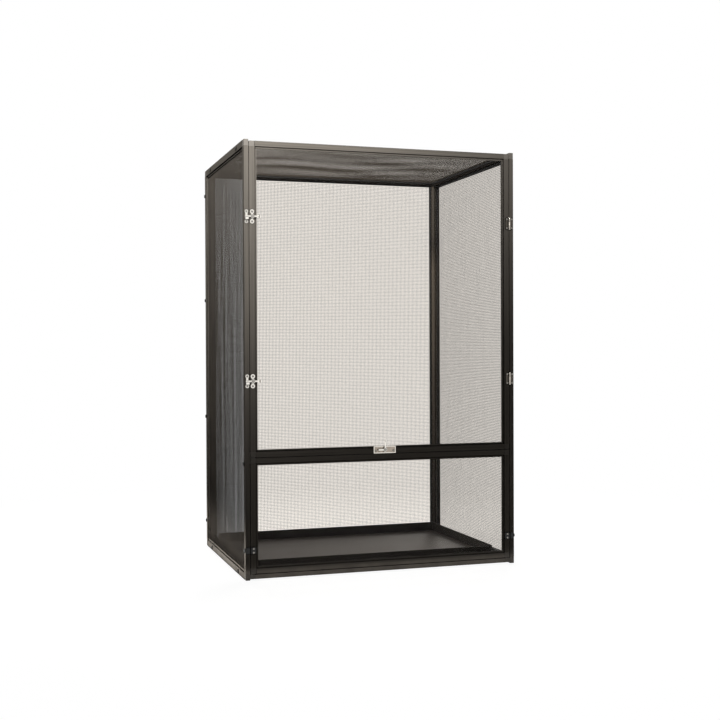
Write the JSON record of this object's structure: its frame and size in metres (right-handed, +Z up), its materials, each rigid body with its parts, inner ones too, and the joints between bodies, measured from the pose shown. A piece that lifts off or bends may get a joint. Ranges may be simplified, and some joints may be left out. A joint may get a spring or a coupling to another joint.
{
  "type": "mesh reptile cage",
  "caption": "Tall free-standing reptile cage of hollow aluminium bars with mesh sides, back and top, a hinged clear front door, a drop-down lower door, lever latches and a tray.",
  "frame": {"origin": "on the floor, under the middle of the cage", "axes": "+X to the right seen from the front, +Y to the back, +Z up"},
  "size_m": [0.6048, 0.4587, 0.9],
  "materials": {
    "frame_aluminium": "dark satin anodised",
    "fly_mesh": "dark coated wire",
    "corner_plastic": "moulded",
    "spline_rubber": "matt",
    "chrome": "polished",
    "black_metal": "black oxide",
    "clear_acrylic": "clear",
    "base_board": "fine texture",
    "tray_plastic": "moulded"
  },
  "bodies": {
    "frame": {"left_top_rail": "frame_aluminium", "left_bottom_rail": "frame_aluminium", "left_front_post": "frame_aluminium", "left_rear_post": "frame_aluminium", "right_top_rail": "frame_aluminium", "right_bottom_rail": "frame_aluminium", "right_front_post": "frame_aluminium", "right_rear_post": "frame_aluminium", "back_top_rail": "frame_aluminium", "back_bottom_rail": "frame_aluminium", "back_left_stile": "frame_aluminium", "back_right_stile": "frame_aluminium", "top_left_bar": "frame_aluminium", "top_right_bar": "frame_aluminium", "top_front_rail": "frame_aluminium", "top_rear_rail": "frame_aluminium", "base_left_bar": "frame_aluminium", "base_right_bar": "frame_aluminium", "base_front_rail": "frame_aluminium", "base_rear_rail": "frame_aluminium", "left_mesh": "fly_mesh", "right_mesh": "fly_mesh", "back_mesh": "fly_mesh", "top_mesh": "fly_mesh", "panel_corner_keys": "corner_plastic", "mesh_splines": "spline_rubber", "base_sheet": "base_board", "substrate_tray": "tray_plastic", "hinge_frame_leaves": "chrome", "hinge_pins": "chrome", "latch_keepers": "chrome", "post_pivot_plates": "black_metal", "pivot_screws": "black_metal", "door_stops": "corner_plastic", "assembly_screws": "black_metal", "post_hardware_screws": "chrome"},
    "upper_door": {"upper_door_left_stile": "frame_aluminium", "upper_door_right_stile": "frame_aluminium", "upper_door_top_rail": "frame_aluminium", "upper_door_bottom_rail": "frame_aluminium", "upper_door_corner_keys": "corner_plastic", "upper_pane": "clear_acrylic", "upper_pane_beads": "spline_rubber", "hinge_door_leaves": "chrome", "latch_plates": "chrome", "thumb_latch_plate": "chrome", "upper_door_fasteners": "chrome"},
    "lower_door": {"lower_door_left_stile": "frame_aluminium", "lower_door_right_stile": "frame_aluminium", "lower_door_top_rail": "frame_aluminium", "lower_door_bottom_rail": "frame_aluminium", "lower_door_corner_keys": "corner_plastic", "lower_pane": "clear_acrylic", "lower_pane_beads": "spline_rubber", "door_pivot_plates": "black_metal", "pivot_bushes": "corner_plastic", "lower_door_screws": "chrome"},
    "upper_latch": {"upper_latch_lever": "chrome"},
    "lower_latch": {"lower_latch_lever": "chrome"},
    "thumb_latch": {"thumb_latch_lever": "chrome"}
  },
  "joints": [
    {"name": "upper_door_hinge", "type": "hinge", "parent": "frame", "child": "upper_door", "pos_m": [0.2899, -0.2275, 0.5752], "axis": [0, 0, 1], "range_deg": [0, 170]},
    {"name": "lower_door_pivot", "type": "hinge", "parent": "frame", "child": "lower_door", "pos_m": [0, -0.22, 0.061], "axis": [1, 0, 0], "range_deg": [0, 105]},
    {"name": "upper_latch_turn", "type": "hinge", "parent": "upper_door", "child": "upper_latch", "pos_m": [-0.2836, -0.2291, 0.7425], "axis": [0, 1, 0], "range_deg": [-12, 80]},
    {"name": "lower_latch_turn", "type": "hinge", "parent": "upper_door", "child": "lower_latch", "pos_m": [-0.2836, -0.2291, 0.4069], "axis": [0, 1, 0], "range_deg": [-12, 80]},
    {"name": "thumb_latch_turn", "type": "hinge", "parent": "upper_door", "child": "thumb_latch", "pos_m": [0, -0.2291, 0.25885], "axis": [0, 1, 0], "range_deg": [-90, 0]}
  ]
}
